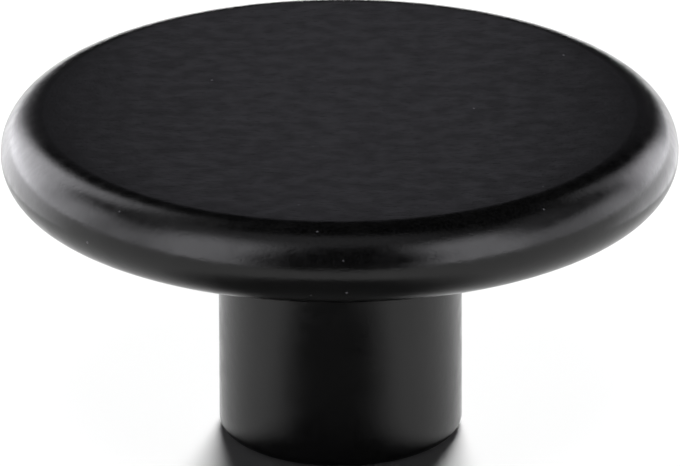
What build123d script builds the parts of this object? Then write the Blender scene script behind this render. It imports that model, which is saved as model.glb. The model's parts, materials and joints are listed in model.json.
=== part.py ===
"""A turned hardwood cabinet knob: a flat round head on a straight stem, with a knurled brass insert in its foot.

The knob stands on its foot. The origin is the centre of the foot, which bears on the door or drawer front, and
+Z runs out along the knob's axis to the head. All sizes are in millimetres, and angles are in degrees.
"""

import os

from build123d import *

# Turned body
head_diameter = 50.0
top_edge_radius = 3.2  # rounds the head's top edge, down to the rim's widest line
bottom_edge_radius = 2.8  # rounds the head's lower edge, up to the rim's widest line
knob_height = 25.0  # how far the knob stands out from the door
stem_diameter = 18.0
foot_edge_radius = 0.8

# Screw thread
thread_diameter = 4.0
thread_pitch = 0.7
mouth_margin = 0.1  # how far the countersunk mouth stands outside the thread
mouth_angle = 90.0

# Brass insert
insert_diameter = 7.0  # over the knurl
insert_length = 10.0
insert_recess = 0.4  # keeps the brass off the door, so that the wood bears on it
lead_length = 1.2  # plain end that starts the insert in its hole
lead_step = 0.4  # how far the plain end is turned down
lead_chamfer = 0.3
groove_width = 1.6  # glue groove between the two knurled bands
groove_depth = 0.6
knurl_depth = 0.3
knurl_count = 28

# Hole in the foot
seat_clearance = 0.03  # glue line round the insert
screw_clearance = 0.3  # round the end of the screw, beyond the insert
screw_room = 4.0  # how far a screw can pass the insert's inner end

# Sizes of the body that follow
head_radius = head_diameter / 2
head_thickness = top_edge_radius + bottom_edge_radius
underside_height = knob_height - head_thickness
rim_height = underside_height + bottom_edge_radius
top_flat_radius = head_radius - top_edge_radius
underside_radius = head_radius - bottom_edge_radius
stem_radius = stem_diameter / 2

# Sizes of the insert and its hole that follow
insert_radius = insert_diameter / 2
lead_radius = insert_radius - lead_step
groove_radius = insert_radius - groove_depth
knurl_length = (insert_length - lead_length - groove_width) / 2
lower_knurl_end = insert_recess + knurl_length
upper_knurl_start = lower_knurl_end + groove_width
lead_start = upper_knurl_start + knurl_length
insert_end = insert_recess + insert_length
tapping_radius = (thread_diameter - thread_pitch) / 2
mouth_radius = thread_diameter / 2 + mouth_margin
seat_radius = insert_radius + seat_clearance
screw_room_radius = thread_diameter / 2 + screw_clearance

# Body: a revolved outline, then the foot's edge and the stepped hole that the insert seats in
with BuildPart() as knob_body:
    with BuildSketch(Plane.XZ):
        with BuildLine():
            top = Line((0, knob_height), (top_flat_radius, knob_height))
            upper_edge = TangentArc(top @ 1, (head_radius, rim_height), tangent=top % 1)
            lower_edge = TangentArc(upper_edge @ 1, (underside_radius, underside_height), tangent=upper_edge % 1)
            Polyline(
                lower_edge @ 1,
                (stem_radius, underside_height),
                (stem_radius, 0),
                (0, 0),
                top @ 0,
            )
        make_face()
    revolve(axis=Axis.Z)
    foot_edge = knob_body.edges().filter_by(GeomType.CIRCLE).sort_by(Axis.Z).first
    fillet(foot_edge, radius=foot_edge_radius)
    with Locations(knob_body.faces().sort_by(Axis.Z).first):
        CounterBoreHole(
            radius=screw_room_radius,
            counter_bore_radius=seat_radius,
            counter_bore_depth=insert_end,
            depth=insert_end + screw_room,
        )

# Insert: a turned bush with two knurled bands, a glue groove between them and a plain lead at its inner end
with BuildPart() as threaded_insert:
    with BuildSketch(Plane.XZ):
        with BuildLine():
            Polyline(
                (0, insert_recess),
                (insert_radius, insert_recess),
                (insert_radius, lower_knurl_end),
                (groove_radius, lower_knurl_end),
                (groove_radius, upper_knurl_start),
                (insert_radius, upper_knurl_start),
                (insert_radius, lead_start),
                (lead_radius, lead_start),
                (lead_radius, insert_end - lead_chamfer),
                (lead_radius - lead_chamfer, insert_end),
                (0, insert_end),
                close=True,
            )
        make_face()
    revolve(axis=Axis.Z)
    for knurl_start in (insert_recess, upper_knurl_start):
        with BuildSketch(Plane.XY.offset(knurl_start)):
            with PolarLocations(insert_radius, knurl_count):
                # A square on its corner cuts a right-angled groove
                RegularPolygon(radius=knurl_depth, side_count=4)
        extrude(amount=knurl_length, mode=Mode.SUBTRACT)
    with Locations(threaded_insert.faces().sort_by(Axis.Z).first):
        CounterSinkHole(
            radius=tapping_radius,
            counter_sink_radius=mouth_radius,
            depth=insert_length,
            counter_sink_angle=mouth_angle,
        )

knob_body.part.label = "knob_body"
threaded_insert.part.label = "threaded_insert"

os.makedirs("parts", exist_ok=True)
export_step(knob_body.part, "parts/knob_body.step")
export_step(threaded_insert.part, "parts/threaded_insert.step")
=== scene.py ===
"""The looks of a turned beech cabinet knob in satin black lacquer, with a tapped brass insert in its foot.

Everything is in metres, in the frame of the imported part: the origin is the centre of the foot, +Z runs out
along the knob's axis to the head, and +X runs along the grain of the wood.
"""

import json
import logging
import math
from dataclasses import dataclass
from enum import Enum
from typing import Any

import bpy
import numpy as np
from mathutils import Matrix, Vector


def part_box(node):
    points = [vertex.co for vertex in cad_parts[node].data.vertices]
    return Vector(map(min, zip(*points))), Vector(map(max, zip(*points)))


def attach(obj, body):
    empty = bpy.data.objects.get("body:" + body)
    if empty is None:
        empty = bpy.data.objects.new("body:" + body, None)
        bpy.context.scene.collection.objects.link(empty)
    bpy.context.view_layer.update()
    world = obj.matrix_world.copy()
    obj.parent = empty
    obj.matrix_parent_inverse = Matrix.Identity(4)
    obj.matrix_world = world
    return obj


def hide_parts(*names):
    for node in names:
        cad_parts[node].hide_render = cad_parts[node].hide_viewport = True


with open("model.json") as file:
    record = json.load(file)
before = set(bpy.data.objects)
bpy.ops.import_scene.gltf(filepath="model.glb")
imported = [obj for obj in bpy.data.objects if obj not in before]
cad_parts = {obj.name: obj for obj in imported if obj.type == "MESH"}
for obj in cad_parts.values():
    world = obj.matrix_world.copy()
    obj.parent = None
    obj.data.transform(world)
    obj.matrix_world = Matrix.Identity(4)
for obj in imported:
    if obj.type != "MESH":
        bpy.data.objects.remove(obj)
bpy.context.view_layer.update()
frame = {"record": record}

log = logging.getLogger("knob")

MM = 0.001
BODY = "root"  # the knob has no joints, so all of it is one body
SHARP_ANGLE = math.radians(35)  # a mesh edge that turns by more shades as a corner
NOISE_LOW, NOISE_HIGH = 0.35, 0.65  # where most values of a noise texture lie
WAVE_TURN = 20.0  # radians that a wave texture turns through for each unit of its scale
MIX_SHARE, MIX_UNDER, MIX_OVER, MIX_COLOUR = 0, 6, 7, 2  # sockets of a colour Mix node, whose names repeat


class Node(Enum):
    """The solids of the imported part, which the pieces of the scene stand for."""

    WOOD = "knob_body"
    INSERT = "threaded_insert"


class Slot(Enum):
    """The record's material slots."""

    WOOD = "lacquered_wood"
    BRASS = "brass"


class Falls(Enum):
    """What a lamp falls on."""

    KNOB = "knob"
    FLOOR = "floor"


def linear(colour: str) -> tuple[float, float, float, float]:
    """Turn an sRGB hex colour into linear red, green, blue and alpha.

    Args:
        colour: Six hex digits after a hash, such as "#ffffff".

    Returns:
        The linear colour, by the sRGB curve: a straight foot below 0.04045 and a power of 2.4 above it.
    """
    levels = np.array([int(colour[at : at + 2], 16) for at in (1, 3, 5)]) / 255
    values = np.where(levels <= 0.04045, levels / 12.92, ((levels + 0.055) / 1.055) ** 2.4)
    return (*values.tolist(), 1.0)


def add_node(tree: bpy.types.NodeTree, kind: str, feeds: dict[Any, Any], **settings: Any) -> bpy.types.Node:
    """Add a node, set it and feed its sockets.

    Args:
        tree: The node tree that gets the node.
        kind: Blender's name for the kind of node.
        feeds: For each input, by name or number, another node's output to link or a value to set.
        settings: Attributes of the node.

    Returns:
        The new node.
    """
    node = tree.nodes.new(kind)
    for name, value in settings.items():
        setattr(node, name, value)
    for key, feed in feeds.items():
        if isinstance(feed, bpy.types.NodeSocket):
            tree.links.new(feed, node.inputs[key])
        else:
            node.inputs[key].default_value = feed
    return node


def new_material(name: str) -> tuple[bpy.types.Material, bpy.types.NodeTree]:
    """Make a material with an empty node tree.

    Args:
        name: The material's name.

    Returns:
        The material and its node tree.
    """
    material = bpy.data.materials.new(name)
    material.use_nodes = True
    material.node_tree.nodes.clear()
    return material, material.node_tree


def straight(start: tuple[float, float], end: tuple[float, float], steps: int) -> np.ndarray:
    """Points on a straight run of an outline, evenly spaced.

    Args:
        start: Radius and height of the first point.
        end: Radius and height of the last point.
        steps: How many equal parts the run has.

    Returns:
        An array of radius and height, steps + 1 by 2.
    """
    return np.linspace(start, end, steps + 1)


def arc(centre: tuple[float, float], radius: float, first: float, last: float, steps: int) -> np.ndarray:
    """Points on a circular run of an outline: the centre, plus the radius times the angle's cosine and sine.

    Args:
        centre: Radius and height of the arc's centre.
        radius: The arc's own radius.
        first: Angle of the first point in degrees, from outwards towards +Z.
        last: Angle of the last point.
        steps: How many equal parts the arc has.

    Returns:
        An array of radius and height, steps + 1 by 2.
    """
    angles = np.radians(np.linspace(first, last, steps + 1))
    return np.array(centre) + radius * np.stack([np.cos(angles), np.sin(angles)], axis=1)


def join_runs(*runs: np.ndarray) -> np.ndarray:
    """Chain the runs of an outline, each starting where the last one ends, and drop the repeated points."""
    return np.concatenate([runs[0], *(run[1:] for run in runs[1:])])


@dataclass(frozen=True)
class RingSurface:
    """A closed surface of rings about the Z axis.

    Attributes:
        radii: Radius of each corner, one row for each ring and one column for each angle.
        heights: Height of each ring.
        angles: Angle of each column, in radians.
        joined: Whether the last ring joins the first, as on a bush. If not, the end rings are poles.
    """

    radii: np.ndarray
    heights: np.ndarray
    angles: np.ndarray
    joined: bool

    def corners(self) -> np.ndarray:
        """Place each corner at radius times cosine, radius times sine, and the height of its ring."""
        points = np.stack(
            [
                self.radii * np.cos(self.angles),
                self.radii * np.sin(self.angles),
                np.broadcast_to(self.heights[:, None], self.radii.shape),
            ],
            axis=-1,
        )
        if self.joined:
            return points.reshape(-1, 3)
        return np.concatenate([points[0, :1], points[1:-1].reshape(-1, 3), points[-1, :1]])

    def faces(self) -> list[list[int]]:
        """Join each ring to the next.

        Returns:
            For each face, the numbers of two corners on one ring and the same two on the next, in the order
            that turns it outwards where the outline runs clockwise. At a pole, a fan of triangles closes the
            ring.
        """
        rings, columns = self.radii.shape
        column = np.arange(columns)
        following = np.roll(column, -1)
        if self.joined:
            start = (np.arange(rings) * columns)[:, None]
            below = np.roll(start, -1)
            fans = []
        else:
            gaps = rings - 3  # between the full rings, since each end ring is a single corner
            start = 1 + (np.arange(gaps) * columns)[:, None]
            below = start + columns
            last_ring = 1 + gaps * columns
            first_pole = np.zeros(columns, int)
            end_pole = np.full(columns, last_ring + columns)
            top_fan = np.stack([first_pole, 1 + column, 1 + following], axis=1)
            end_fan = np.stack([end_pole, last_ring + following, last_ring + column], axis=1)
            fans = [*top_fan.tolist(), *end_fan.tolist()]
        quads = np.stack([start + column, below + column, below + following, start + following], axis=-1)
        return quads.reshape(-1, 4).tolist() + fans

    def piece(self, name: str, material: bpy.types.Material) -> bpy.types.Object:
        """Make the surface a smooth mesh object.

        Args:
            name: The object's name.
            material: Its finish.

        Returns:
            The object, linked to the scene and placed by its mesh.
        """
        mesh = bpy.data.meshes.new(name)
        mesh.from_pydata(self.corners(), [], self.faces())
        mesh.shade_smooth()
        mesh.set_sharp_from_angle(angle=SHARP_ANGLE)
        mesh.materials.append(material)
        piece = bpy.data.objects.new(name, mesh)
        bpy.context.scene.collection.objects.link(piece)
        return piece


@dataclass(frozen=True)
class LacqueredBeech:
    """Steamed beech, turned, sanded and sprayed satin black, with the foot left bare.

    The lacquer is a thin dielectric film, nearly black under a soft gloss. It sinks into the flecks and pores
    of the wood, so the gloss breaks up along the grain. It dries with a slight orange peel and a few nibs of
    dust.

    Attributes:
        bare_radius: Radius to which the foot was masked from the spray.
        bare_height: Height below which what lies inside that radius is bare.
        bare_blur: How far the spray crept under the mask.
        lacquer: Colour of the film.
        lacquer_thin: Colour of the film where it dries thin on the orange peel.
        nib: Colour of a nib of dust.
        wood: Colour of the bare foot.
        wood_dark: Colour of the darker bands in the bare foot.
        wood_fleck: Colour of the ray flecks in the bare foot.
        index: Refractive index of the film.
        gloss: Roughness where the film lies smooth.
        gloss_change: How much rougher it is over the flecks.
        bare_rough: Roughness of the bare foot.
        fleck_length: Length of a fleck of the grain.
        fleck_width: Width of a fleck.
        pore_length: Length of a pore.
        pore_width: Width of a pore, drawn several times as wide as in beech so that it shows.
        pore_start: Value of the pores' noise at which a pore begins.
        pore_full: Value at which it is at its deepest.
        peel_size: Spacing of the orange peel.
        nib_spacing: How far apart the nibs can lie.
        nib_radius: Radius of a nib.
        fleck_depth: How deep the flecks show through the film.
        pore_depth: How deep the pores show through it.
        peel_depth: How deep the orange peel is.
    """

    bare_radius: float
    bare_height: float
    bare_blur: float = 0.5 * MM
    lacquer: str = "#020202"
    lacquer_thin: str = "#0a0a0a"
    nib: str = "#4a4a4c"
    wood: str = "#d2ae86"
    wood_dark: str = "#bd9468"
    wood_fleck: str = "#96693f"
    index: float = 1.4
    gloss: float = 0.17
    gloss_change: float = 0.08
    bare_rough: float = 0.62
    fleck_length: float = 1.7 * MM
    fleck_width: float = 1.2 * MM
    pore_length: float = 0.8 * MM
    pore_width: float = 0.25 * MM
    pore_start: float = 0.56
    pore_full: float = 0.7
    peel_size: float = 0.2 * MM
    nib_spacing: float = 3.0 * MM
    nib_radius: float = 0.12 * MM
    fleck_depth: float = 0.012 * MM
    pore_depth: float = 0.003 * MM
    peel_depth: float = 0.004 * MM

    def material(self) -> bpy.types.Material:
        """Build the finish from noise drawn out along the grain, nibs and a mask for the bare foot.

        Returns:
            The material.
        """
        material, tree = new_material("satin black lacquer on turned beech")
        place = add_node(tree, "ShaderNodeTexCoord", {}).outputs["Object"]
        patch_sizes = {
            "flecks": (self.fleck_length, self.fleck_width, self.fleck_width),
            "pores": (self.pore_length, self.pore_width, self.pore_width),
            "peel": (self.peel_size, self.peel_size, self.peel_size),
        }
        noise = {}
        for name, size in patch_sizes.items():
            scale = tuple(1 / length for length in size)
            drawn_out = add_node(tree, "ShaderNodeMapping", {"Vector": place, "Scale": scale}).outputs[0]
            texture = add_node(tree, "ShaderNodeTexNoise", {"Vector": drawn_out, "Scale": 1.0})
            noise[name] = texture.outputs[0]
        pores = add_node(
            tree,
            "ShaderNodeMapRange",
            {"Value": noise["pores"], "From Min": self.pore_start, "From Max": self.pore_full},
        ).outputs[0]
        thin = add_node(
            tree,
            "ShaderNodeMapRange",
            {"Value": noise["peel"], "From Min": NOISE_LOW, "From Max": NOISE_HIGH},
        ).outputs[0]
        nibs = self.nibs(tree, place)
        bare = self.bare_foot(tree, place, noise["peel"])

        timber, colour = linear(self.wood), linear(self.lacquer)
        for share, over in ((noise["flecks"], linear(self.wood_dark)), (pores, linear(self.wood_fleck))):
            feeds = {MIX_SHARE: share, MIX_UNDER: timber, MIX_OVER: over}
            timber = add_node(tree, "ShaderNodeMix", feeds, data_type="RGBA").outputs[MIX_COLOUR]
        for share, over in ((thin, linear(self.lacquer_thin)), (nibs, linear(self.nib)), (bare, timber)):
            feeds = {MIX_SHARE: share, MIX_UNDER: colour, MIX_OVER: over}
            colour = add_node(tree, "ShaderNodeMix", feeds, data_type="RGBA").outputs[MIX_COLOUR]

        sheen = add_node(
            tree,
            "ShaderNodeMapRange",
            {
                "Value": noise["flecks"],
                "From Min": NOISE_LOW,
                "From Max": NOISE_HIGH,
                "To Min": self.gloss,
                "To Max": self.gloss + self.gloss_change,
            },
        ).outputs[0]
        rough = add_node(
            tree, "ShaderNodeMix", {"Factor": bare, "A": sheen, "B": self.bare_rough}, data_type="FLOAT"
        ).outputs[0]

        lie = add_node(
            tree, "ShaderNodeBump", {"Height": noise["flecks"], "Distance": self.fleck_depth}
        ).outputs[0]
        pitted = add_node(
            tree, "ShaderNodeBump", {"Height": pores, "Distance": self.pore_depth, "Normal": lie}, invert=True
        ).outputs[0]
        normal = add_node(
            tree, "ShaderNodeBump", {"Height": noise["peel"], "Distance": self.peel_depth, "Normal": pitted}
        ).outputs[0]

        shader = add_node(
            tree,
            "ShaderNodeBsdfPrincipled",
            {"Base Color": colour, "Roughness": rough, "IOR": self.index, "Normal": normal},
        )
        add_node(tree, "ShaderNodeOutputMaterial", {"Surface": shader.outputs["BSDF"]})
        return material

    def nibs(self, tree: bpy.types.NodeTree, place: bpy.types.NodeSocket) -> bpy.types.NodeSocket:
        """Scatter nibs: small balls about points in space, of which the surface cuts a few.

        Args:
            tree: The material's node tree.
            place: Where a point is on the object.

        Returns:
            One on a nib, nought between them.
        """
        away = add_node(
            tree, "ShaderNodeTexVoronoi", {"Vector": place, "Scale": 1 / self.nib_spacing}
        ).outputs["Distance"]
        edge = self.nib_radius / self.nib_spacing
        return add_node(
            tree,
            "ShaderNodeMapRange",
            {"Value": away, "From Min": edge / 2, "From Max": edge, "To Min": 1.0, "To Max": 0.0},
        ).outputs[0]

    def bare_foot(
        self, tree: bpy.types.NodeTree, place: bpy.types.NodeSocket, ragged: bpy.types.NodeSocket
    ) -> bpy.types.NodeSocket:
        """Mask the foot and its hole: inside a ragged radius, and below the head.

        Args:
            tree: The material's node tree.
            place: Where a point is on the object.
            ragged: Noise that frays the edge of the spray.

        Returns:
            One where the wood is bare, nought where it is lacquered.
        """
        across = add_node(
            tree, "ShaderNodeVectorMath", {0: place, 1: (1.0, 1.0, 0.0)}, operation="MULTIPLY"
        ).outputs[0]
        radius = add_node(tree, "ShaderNodeVectorMath", {0: across}, operation="LENGTH").outputs["Value"]
        frayed = add_node(
            tree, "ShaderNodeMath", {0: ragged, 1: self.bare_blur, 2: radius}, operation="MULTIPLY_ADD"
        ).outputs[0]
        inside = add_node(
            tree,
            "ShaderNodeMapRange",
            {
                "Value": frayed,
                "From Min": self.bare_radius,
                "From Max": self.bare_radius + self.bare_blur,
                "To Min": 1.0,
                "To Max": 0.0,
            },
            interpolation_type="SMOOTHSTEP",
        ).outputs[0]
        height = add_node(tree, "ShaderNodeSeparateXYZ", {0: place}).outputs["Z"]
        low = add_node(
            tree, "ShaderNodeMath", {0: height, 1: self.bare_height}, operation="LESS_THAN"
        ).outputs[0]
        return add_node(tree, "ShaderNodeMath", {0: inside, 1: low}, operation="MULTIPLY").outputs[0]


@dataclass(frozen=True)
class TurnedBrass:
    """Free-cutting brass, turned, knurled and tapped, and left uncoated.

    It is a warm yellow metal, a little dulled by air, with fine rings left by the tool.

    Attributes:
        bright: Colour of the clean metal.
        dulled: Colour where air has dulled it.
        smooth: Roughness of the clean metal.
        rough: Roughness where it is dulled.
        patch_size: Size of the dulled patches.
        patch_detail: How many finer layers their noise has.
        ring_pitch: Spacing of the tool's rings, drawn wider than a fine feed so that they show.
        ring_depth: Depth of the rings.
    """

    bright: str = "#d9b871"
    dulled: str = "#b8934f"
    smooth: float = 0.24
    rough: float = 0.4
    patch_size: float = 1.5 * MM
    patch_detail: float = 3.0
    ring_pitch: float = 0.12 * MM
    ring_depth: float = 0.002 * MM

    def material(self) -> bpy.types.Material:
        """Build the finish from dulled patches and rings round the axis.

        Returns:
            The material.
        """
        material, tree = new_material("turned free-cutting brass")
        place = add_node(tree, "ShaderNodeTexCoord", {}).outputs["Object"]
        patches = add_node(
            tree,
            "ShaderNodeTexNoise",
            {"Vector": place, "Scale": 1 / self.patch_size, "Detail": self.patch_detail},
        ).outputs[0]
        colour = add_node(
            tree,
            "ShaderNodeMix",
            {MIX_SHARE: patches, MIX_UNDER: linear(self.bright), MIX_OVER: linear(self.dulled)},
            data_type="RGBA",
        ).outputs[MIX_COLOUR]
        rough = add_node(
            tree,
            "ShaderNodeMapRange",
            {
                "Value": patches,
                "From Min": NOISE_LOW,
                "From Max": NOISE_HIGH,
                "To Min": self.smooth,
                "To Max": self.rough,
            },
        ).outputs[0]
        rings = add_node(
            tree,
            "ShaderNodeTexWave",
            {"Vector": place, "Scale": 2 * math.pi / (WAVE_TURN * self.ring_pitch)},
            wave_type="RINGS",
            rings_direction="Z",
        ).outputs["Fac"]
        normal = add_node(
            tree, "ShaderNodeBump", {"Height": rings, "Distance": self.ring_depth}
        ).outputs["Normal"]
        shader = add_node(
            tree,
            "ShaderNodeBsdfPrincipled",
            {"Base Color": colour, "Metallic": 1.0, "Roughness": rough, "Normal": normal},
        )
        add_node(tree, "ShaderNodeOutputMaterial", {"Surface": shader.outputs["BSDF"]})
        return material


@dataclass(frozen=True)
class SeamlessPaper:
    """Matt white paper, which the knob stands on.

    Attributes:
        white: Colour of the paper.
    """

    white: str = "#f4f4f4"

    def material(self) -> bpy.types.Material:
        """Build a plain white diffuse finish."""
        material, tree = new_material("matt seamless paper")
        shader = add_node(tree, "ShaderNodeBsdfDiffuse", {"Color": linear(self.white)})
        add_node(tree, "ShaderNodeOutputMaterial", {"Surface": shader.outputs["BSDF"]})
        return material


@dataclass(frozen=True)
class TurnedBody:
    """The wooden body: a flat head with a rounded rim on a straight stem, and a stepped hole in the foot.

    Attributes:
        head_radius: Radius of the head at its widest line.
        height: Height of the knob.
        seat_radius: Radius of the insert's seat.
        seat_depth: Depth of the seat.
        top_edge_radius: Rounding of the head's top edge.
        bottom_edge_radius: Rounding of the head's lower edge.
        stem_radius: Radius of the stem.
        neck_fillet: Radius of the lacquer that fills the corner of stem and head.
        foot_edge_radius: Rounding of the foot's edge.
        room_radius: Radius of the room for the screw's end.
        room_depth: Depth of that room beyond the seat.
        columns: How many columns go round.
    """

    head_radius: float
    height: float
    seat_radius: float
    seat_depth: float
    top_edge_radius: float = 3.2 * MM
    bottom_edge_radius: float = 2.8 * MM
    stem_radius: float = 9.0 * MM
    neck_fillet: float = 0.4 * MM
    foot_edge_radius: float = 0.8 * MM
    room_radius: float = 2.3 * MM
    room_depth: float = 4.0 * MM
    columns: int = 256

    @property
    def underside(self) -> float:
        """Height of the head's underside."""
        return self.height - self.top_edge_radius - self.bottom_edge_radius

    def outline(self) -> np.ndarray:
        """Work out half of the body's section, clockwise from the middle of the top to the end of the hole.

        Returns:
            An array of radius and height for each ring.
        """
        rim = self.height - self.top_edge_radius
        flat = self.head_radius - self.top_edge_radius
        inner = self.head_radius - self.bottom_edge_radius
        neck = self.stem_radius + self.neck_fillet
        stem_top = self.underside - self.neck_fillet
        foot = self.stem_radius - self.foot_edge_radius
        room_end = self.seat_depth + self.room_depth
        return join_runs(
            straight((0.0, self.height), (flat, self.height), steps=12),
            arc((flat, rim), self.top_edge_radius, first=90, last=0, steps=24),
            arc((inner, rim), self.bottom_edge_radius, first=0, last=-90, steps=24),
            straight((inner, self.underside), (neck, self.underside), steps=8),
            arc((neck, stem_top), self.neck_fillet, first=90, last=180, steps=6),
            straight((self.stem_radius, stem_top), (self.stem_radius, self.foot_edge_radius), steps=12),
            arc((foot, self.foot_edge_radius), self.foot_edge_radius, first=0, last=-90, steps=10),
            straight((foot, 0.0), (self.seat_radius, 0.0), steps=4),
            straight((self.seat_radius, 0.0), (self.seat_radius, self.seat_depth), steps=6),
            straight((self.seat_radius, self.seat_depth), (self.room_radius, self.seat_depth), steps=1),
            straight((self.room_radius, self.seat_depth), (self.room_radius, room_end), steps=4),
            straight((self.room_radius, room_end), (0.0, room_end), steps=2),
        )

    def build(self, finish: LacqueredBeech) -> bpy.types.Object:
        """Turn the outline round the axis and dress it.

        Args:
            finish: The finish of the wood.

        Returns:
            The piece, which stands for the wooden solid.
        """
        outline = self.outline()
        angles = np.linspace(0, 2 * math.pi, self.columns, endpoint=False)
        radii = np.broadcast_to(outline[:, :1], (len(outline), self.columns))
        surface = RingSurface(radii, outline[:, 1], angles, joined=False)
        piece = surface.piece("turned_body", finish.material())
        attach(piece, BODY)
        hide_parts(Node.WOOD.value)
        return piece


@dataclass(frozen=True)
class TappedInsert:
    """The brass insert: two knurled bands with a glue groove between them, a plain lead and a tapped bore.

    Attributes:
        radius: Radius over the knurl.
        start: Height of its outer end, inside the foot.
        end: Height of its inner end.
        tapping_radius: Radius of the thread's crests.
        thread_radius: Radius of the thread's roots.
        thread_pitch: Rise of the thread in one turn.
        flank_angle: Angle between the two flanks of its ridge, in degrees.
        crest_cut: How much of the ridge's sharp edge the flat crest cuts off.
        mouth_margin: How far the countersunk mouth stands outside the thread.
        lead_length: Length of the plain lead.
        lead_step: How far the lead is turned down.
        lead_chamfer: Chamfer on the end of the lead.
        groove_width: Width of the glue groove.
        groove_depth: Depth of the glue groove.
        knurl_depth: Depth of the knurl's grooves, which is half their width too.
        knurl_count: How many grooves go round.
        band_chamfer: Chamfer on the ends of the knurled bands.
        rows_each_turn: How many rings each turn of the thread has.
    """

    radius: float
    start: float
    end: float
    tapping_radius: float
    thread_radius: float = 2.0 * MM
    thread_pitch: float = 0.7 * MM
    flank_angle: float = 60.0
    crest_cut: float = 0.044 * MM
    mouth_margin: float = 0.1 * MM
    lead_length: float = 1.2 * MM
    lead_step: float = 0.4 * MM
    lead_chamfer: float = 0.3 * MM
    groove_width: float = 1.6 * MM
    groove_depth: float = 0.6 * MM
    knurl_depth: float = 0.3 * MM
    knurl_count: int = 28
    band_chamfer: float = 0.12 * MM
    rows_each_turn: int = 12

    def angles(self) -> np.ndarray:
        """Place four columns at each knurl groove: midway to the last one, its two edges and its bottom."""
        pitch = 2 * math.pi / self.knurl_count
        half_width = self.knurl_depth / self.radius
        offsets = np.array([-pitch / 2, -half_width, 0.0, half_width])
        return (np.arange(self.knurl_count)[:, None] * pitch + offsets).ravel()

    def knurl(self) -> np.ndarray:
        """Work out how deep the knurl is at each column.

        Returns:
            Nought between the grooves, and in a groove the full depth less the way from its middle, so that
            its flanks meet at a right angle.
        """
        pitch = 2 * math.pi / self.knurl_count
        off_middle = np.abs((self.angles() + pitch / 2) % pitch - pitch / 2) * self.radius
        return np.clip(self.knurl_depth - off_middle, 0.0, None)

    def outside(self) -> tuple[np.ndarray, np.ndarray]:
        """Work out the outer wall, from the inner end down to the outer end.

        Returns:
            Radius and height of each ring, and how much of the knurl each ring has.
        """
        lead = self.radius - self.lead_step
        groove = self.radius - self.groove_depth
        chamfered = self.radius - self.band_chamfer
        lead_start = self.end - self.lead_length
        band = (lead_start - self.start - self.groove_width) / 2
        upper = lead_start - band
        lower = self.start + band
        outline = np.array(
            [
                (lead - self.lead_chamfer, self.end),
                (lead, self.end - self.lead_chamfer),
                (lead, lead_start),
                (chamfered, lead_start),
                (self.radius, lead_start - self.band_chamfer),
                (self.radius, upper + self.band_chamfer),
                (chamfered, upper),
                (groove, upper),
                (groove, lower),
                (chamfered, lower),
                (self.radius, lower - self.band_chamfer),
                (self.radius, self.start + self.band_chamfer),
                (chamfered, self.start),
            ]
        )
        plain = outline[:, 0] < chamfered
        share = np.where(plain, 0.0, 1 - (self.radius - outline[:, 0]) / self.knurl_depth)
        return outline, share

    def bore(self, angles: np.ndarray) -> tuple[np.ndarray, np.ndarray]:
        """Work out the tapped bore, from the countersunk mouth up to the inner end.

        The thread is a helix: a ridge with straight flanks, flat crests and flat roots, whose phase is the
        height in pitches less the share of a turn. The mouth is a 90 degree cone, and the wider of the two is
        kept.

        Args:
            angles: Angle of each column.

        Returns:
            Radius of each corner and height of each ring.
        """
        turns = (self.end - self.start) / self.thread_pitch
        heights = np.linspace(self.start, self.end, round(turns * self.rows_each_turn) + 1)
        phase = (heights[:, None] / self.thread_pitch - angles / (2 * math.pi)) % 1
        from_crest = np.abs(2 * phase - 1) * (self.thread_pitch / 2)
        flank = from_crest / math.tan(math.radians(self.flank_angle / 2))
        sharp_crest = self.tapping_radius - self.crest_cut
        thread = np.clip(sharp_crest + flank, self.tapping_radius, self.thread_radius)
        cone = self.thread_radius + self.mouth_margin + self.start - heights
        return np.maximum(thread, cone[:, None]), heights

    def build(self, finish: TurnedBrass) -> bpy.types.Object:
        """Carry the section round the axis, with the knurl outside and the thread inside, and dress it.

        Args:
            finish: The finish of the brass.

        Returns:
            The piece, which stands for the brass solid.
        """
        angles = self.angles()
        outline, share = self.outside()
        outer = outline[:, :1] - share[:, None] * self.knurl()
        inner, heights = self.bore(angles)
        surface = RingSurface(
            np.concatenate([outer, inner]), np.concatenate([outline[:, 1], heights]), angles, joined=True
        )
        piece = surface.piece("tapped_insert", finish.material())
        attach(piece, BODY)
        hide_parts(Node.INSERT.value)
        return piece


@dataclass(frozen=True)
class PhotoCamera:
    """The camera, a long lens in front of the knob and above it.

    Attributes:
        target: Height of the point that the distance and elevation are taken from, the middle of the rim.
        elevation: Angle of the camera above that point, in degrees.
        distance: How far away the camera is.
        field: Width of the picture at that point.
        pitch: How far down the camera looks, in degrees.
        roll: How far it is turned about its own axis, in degrees.
        sensor: Width of the sensor in millimetres.
    """

    target: float
    elevation: float = 21.859
    distance: float = 1.024858
    field: float = 50.162 * MM
    pitch: float = 22.203
    roll: float = -0.233
    sensor: float = 36.0

    def place(self) -> bpy.types.Object:
        """Put the camera in the scene and make it the scene's own.

        Returns:
            The camera.
        """
        lens = bpy.data.cameras.new("photo camera")
        lens.sensor_width = self.sensor
        lens.lens = self.sensor * self.distance / self.field
        camera = bpy.data.objects.new("photo camera", lens)
        bpy.context.scene.collection.objects.link(camera)
        up = math.radians(self.elevation)
        away = Vector((0.0, -math.cos(up), math.sin(up))) * self.distance
        place = Matrix.Translation(Vector((0.0, 0.0, self.target)) + away)
        tilt = Matrix.Rotation(math.radians(90 - self.pitch), 4, "X")
        twist = Matrix.Rotation(math.radians(self.roll), 4, "Z")
        camera.matrix_world = place @ tilt @ twist
        bpy.context.scene.camera = camera
        return camera


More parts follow.
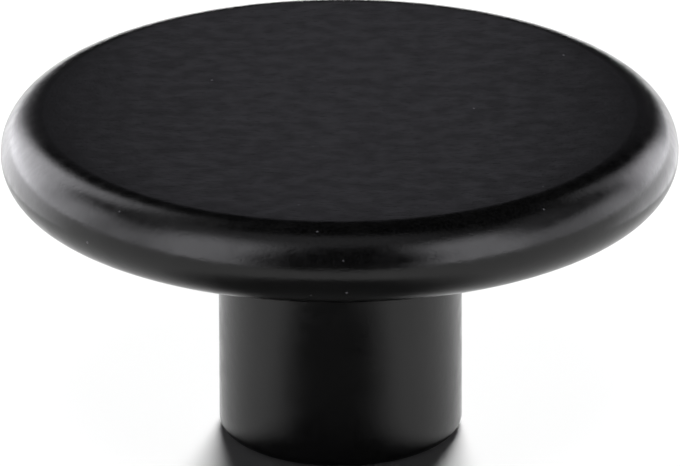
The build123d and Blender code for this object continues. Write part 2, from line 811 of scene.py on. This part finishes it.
@dataclass(frozen=True)
class Softbox:
    """A rectangular lamp, turned to the knob, that is even in the middle and fades towards its edges.

    Attributes:
        name: The lamp's name.
        azimuth: Where it stands, in degrees clockwise from straight behind the knob.
        elevation: How high its middle is, in degrees.
        width: The angle that it takes up sideways, in degrees.
        height: The angle that it takes up from bottom to top, in degrees.
        radiance: How bright the middle of its face is, where 1 is white.
        distance: How far from the knob it stands.
        core: How far from the middle to the edge the face is even, from 0 to 1.
        tint: Its colour, a little cool.
    """

    name: str
    azimuth: float
    elevation: float
    width: float
    height: float
    radiance: float
    distance: float = 1.2
    core: float = 0.3
    tint: str = "#fbfaff"

    def place(self, middle: Vector, receivers: bpy.types.Collection) -> bpy.types.Object:
        """Put the lamp in the scene.

        Args:
            middle: The point that it faces.
            receivers: What it falls on.

        Returns:
            The lamp.
        """
        lamp = bpy.data.lights.new(self.name, "AREA")
        lamp.color = linear(self.tint)[:3]
        lamp.shape = "RECTANGLE"
        lamp.size = 2 * self.distance * math.tan(math.radians(self.width / 2))
        lamp.size_y = 2 * self.distance * math.tan(math.radians(self.height / 2))
        # An even face of radiance L gives out L times pi times its area
        lamp.energy = self.radiance * math.pi * lamp.size * lamp.size_y
        self.fade(lamp)
        holder = bpy.data.objects.new(self.name, lamp)
        bpy.context.scene.collection.objects.link(holder)
        turn, up = math.radians(self.azimuth), math.radians(self.elevation)
        away = Vector((math.sin(turn) * math.cos(up), math.cos(turn) * math.cos(up), math.sin(up)))
        holder.rotation_euler = away.to_track_quat("Z", "Y").to_euler()
        holder.location = middle + away * self.distance
        holder.light_linking.receiver_collection = receivers
        return holder

    def fade(self, lamp: bpy.types.AreaLight) -> None:
        """Fade the face: a smooth step from the core to the edge sideways, times another from bottom to top.

        Args:
            lamp: The lamp to fade.
        """
        lamp.use_nodes = True
        tree = lamp.node_tree
        tree.nodes.clear()
        face = add_node(tree, "ShaderNodeNewGeometry", {}).outputs["Parametric"]
        # From 0 at one edge and 1 at the other, to -1 and 1
        centred = add_node(
            tree,
            "ShaderNodeVectorMath",
            {0: face, 1: (2.0, 2.0, 2.0), 2: (-1.0, -1.0, -1.0)},
            operation="MULTIPLY_ADD",
        ).outputs[0]
        off_middle = add_node(tree, "ShaderNodeVectorMath", {0: centred}, operation="ABSOLUTE").outputs[0]
        sides = add_node(tree, "ShaderNodeSeparateXYZ", {0: off_middle})
        across, upwards = (
            add_node(
                tree,
                "ShaderNodeMapRange",
                {
                    "Value": sides.outputs[axis],
                    "From Min": self.core,
                    "From Max": 1.0,
                    "To Min": 1.0,
                    "To Max": 0.0,
                },
                interpolation_type="SMOOTHSTEP",
            ).outputs[0]
            for axis in ("X", "Y")
        )
        strength = add_node(tree, "ShaderNodeMath", {0: across, 1: upwards}, operation="MULTIPLY").outputs[0]
        glow = add_node(tree, "ShaderNodeEmission", {"Strength": strength})
        add_node(tree, "ShaderNodeOutputLight", {"Surface": glow.outputs["Emission"]})


@dataclass(frozen=True)
class Studio:
    """The floor and the lamps.

    Attributes:
        floor_reach: How far the floor runs each way.
        surround: Brightness of the dark room.
        floor_lamps: The lamps that fall on the floor alone: a strip behind the knob, so that its shadow lies
            towards the camera, and a weak fill in front.
        softboxes: The knob's own lamps: name, azimuth, elevation, width, height and radiance of each.
    """

    floor_reach: float = 4.0
    surround: float = 0.006
    floor_lamps: tuple[Softbox, ...] = (
        Softbox("floor strip", 5, 28, 30, 8, 232.0, distance=3.0, tint="#ffffff"),
        Softbox("floor fill", 180, 70, 40, 40, 2.0, distance=3.0, tint="#ffffff"),
    )
    softboxes: tuple[Softbox, ...] = (
        Softbox("back left box", 317, 13, 46, 64, 4.9, core=0.2),
        Softbox("back left wide", 289, 12, 50, 66, 2.8, core=0.2),
        Softbox("back left top", 318, 42, 28, 34, 2.1),
        Softbox("left wall", 265, 8, 60, 80, 1.4),
        Softbox("left gap", 257, 8, 18, 42, 1.1, distance=1.15),
        Softbox("left top", 290, 57, 76, 32, 0.36),
        Softbox("left card", 297, 10, 90, 44, 1.4, distance=0.06, core=0.0),
        Softbox("left card low", 297, -3, 68, 54, 1.05, distance=0.058),
        Softbox("back right box", 45, 9, 36, 56, 4.2, core=0.2),
        Softbox("back right wide", 66, 8, 44, 50, 1.6, core=0.2),
        Softbox("back right top", 46, 34, 24, 36, 0.9),
        Softbox("right wall", 92, 6, 66, 60, 2.0),
        Softbox("right top", 94, 46, 48, 34, 0.34),
        Softbox("right card", 64, -3, 68, 54, 1.35, distance=0.058),
        Softbox("front left box", 229, 22, 48, 90, 3.5),
        Softbox("front left low", 210, 2, 26, 30, 0.6),
        Softbox("front right box", 131, 20, 46, 86, 3.6),
        Softbox("front right low", 150, 2, 26, 30, 0.95),
        Softbox("front top", 190, 76, 70, 44, 0.45),
        Softbox("front top left", 222, 58, 50, 30, 0.27),
        Softbox("back gap", 0, 24, 60, 16, 0.07, distance=0.27, core=0.5, tint="#f4f2ff"),
        Softbox("back gap middle", 0, 24, 14, 16, 0.2, distance=0.25, core=0.5, tint="#f4f2ff"),
    )

    def floor(self, finish: SeamlessPaper) -> bpy.types.Object:
        """Lay the floor, a flat square grid at the height of the foot.

        Args:
            finish: The finish of the floor.

        Returns:
            The floor.
        """
        reach = np.array([-self.floor_reach, self.floor_reach])
        across, along = np.meshgrid(reach, reach)
        corners = np.stack([across, along, np.zeros_like(across)], axis=-1).reshape(-1, 3)
        mesh = bpy.data.meshes.new("floor")
        mesh.from_pydata(corners, [], [[0, 1, 3, 2]])
        mesh.materials.append(finish.material())
        floor = bpy.data.objects.new("floor", mesh)
        bpy.context.scene.collection.objects.link(floor)
        return floor

    def receivers(self, falls: Falls, floor: bpy.types.Object) -> bpy.types.Collection:
        """Gather what a lamp falls on.

        Args:
            falls: The knob or the floor.
            floor: The floor, which is left out for the knob's lamps.

        Returns:
            A collection that the lamps link to.
        """
        receivers = bpy.data.collections.new(f"lit {falls.value}")
        receivers.objects.link(floor)
        if falls is Falls.KNOB:
            receivers.collection_objects[0].light_linking.link_state = "EXCLUDE"
        return receivers

    def darken_room(self) -> None:
        """Make the world a nearly black room."""
        world = bpy.data.worlds.new("dark room")
        world.use_nodes = True
        world.node_tree.nodes.clear()
        room = add_node(
            world.node_tree, "ShaderNodeBackground", {"Color": linear("#ffffff"), "Strength": self.surround}
        )
        add_node(world.node_tree, "ShaderNodeOutputWorld", {"Surface": room.outputs["Background"]})
        bpy.context.scene.world = world

    def build(self, middle: Vector) -> None:
        """Lay the floor, then hang the lamps round the knob.

        Args:
            middle: The middle of the knob.
        """
        floor = self.floor(SeamlessPaper())
        for falls, lamps in ((Falls.FLOOR, self.floor_lamps), (Falls.KNOB, self.softboxes)):
            receivers = self.receivers(falls, floor)
            for lamp in lamps:
                lamp.place(middle, receivers)
        self.darken_room()


def main() -> None:
    """Build the camera, the two pieces and the studio, and note the size of what was built."""
    logging.basicConfig(level=logging.INFO, format="%(name)s: %(message)s")
    bpy.context.scene.view_settings.view_transform = "Standard"

    _, wood_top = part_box(Node.WOOD.value)
    insert_low, insert_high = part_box(Node.INSERT.value)
    thread = next(m for m in frame["record"]["mounts"] if m["kind"] == "threaded_hole")
    seat_clearance = 0.03 * MM  # between the insert's knurl and the wood
    mask_margin = 0.6 * MM  # how far inside the foot's rounded edge the bare wood begins

    body = TurnedBody(
        head_radius=wood_top.x,
        height=wood_top.z,
        seat_radius=insert_high.x + seat_clearance,
        seat_depth=insert_high.z,
    )
    beech = LacqueredBeech(
        bare_radius=body.stem_radius - body.foot_edge_radius - mask_margin,
        bare_height=body.underside - body.bottom_edge_radius,
    )
    insert = TappedInsert(
        radius=insert_high.x,
        start=insert_low.z,
        end=insert_high.z,
        tapping_radius=thread["dims"]["r_mm"] * MM,
    )
    camera = PhotoCamera(target=body.height - body.top_edge_radius)

    camera.place()
    log.info("camera: %.1f mm lens", camera.sensor * camera.distance / camera.field)
    for piece in (body.build(beech), insert.build(TurnedBrass())):
        log.info("%s: %d faces", piece.name, len(piece.data.polygons))
    studio = Studio()
    studio.build(Vector((0.0, 0.0, body.height / 2)))
    log.info("studio: %d softboxes", len(studio.softboxes))


if __name__ == "__main__":
    main()
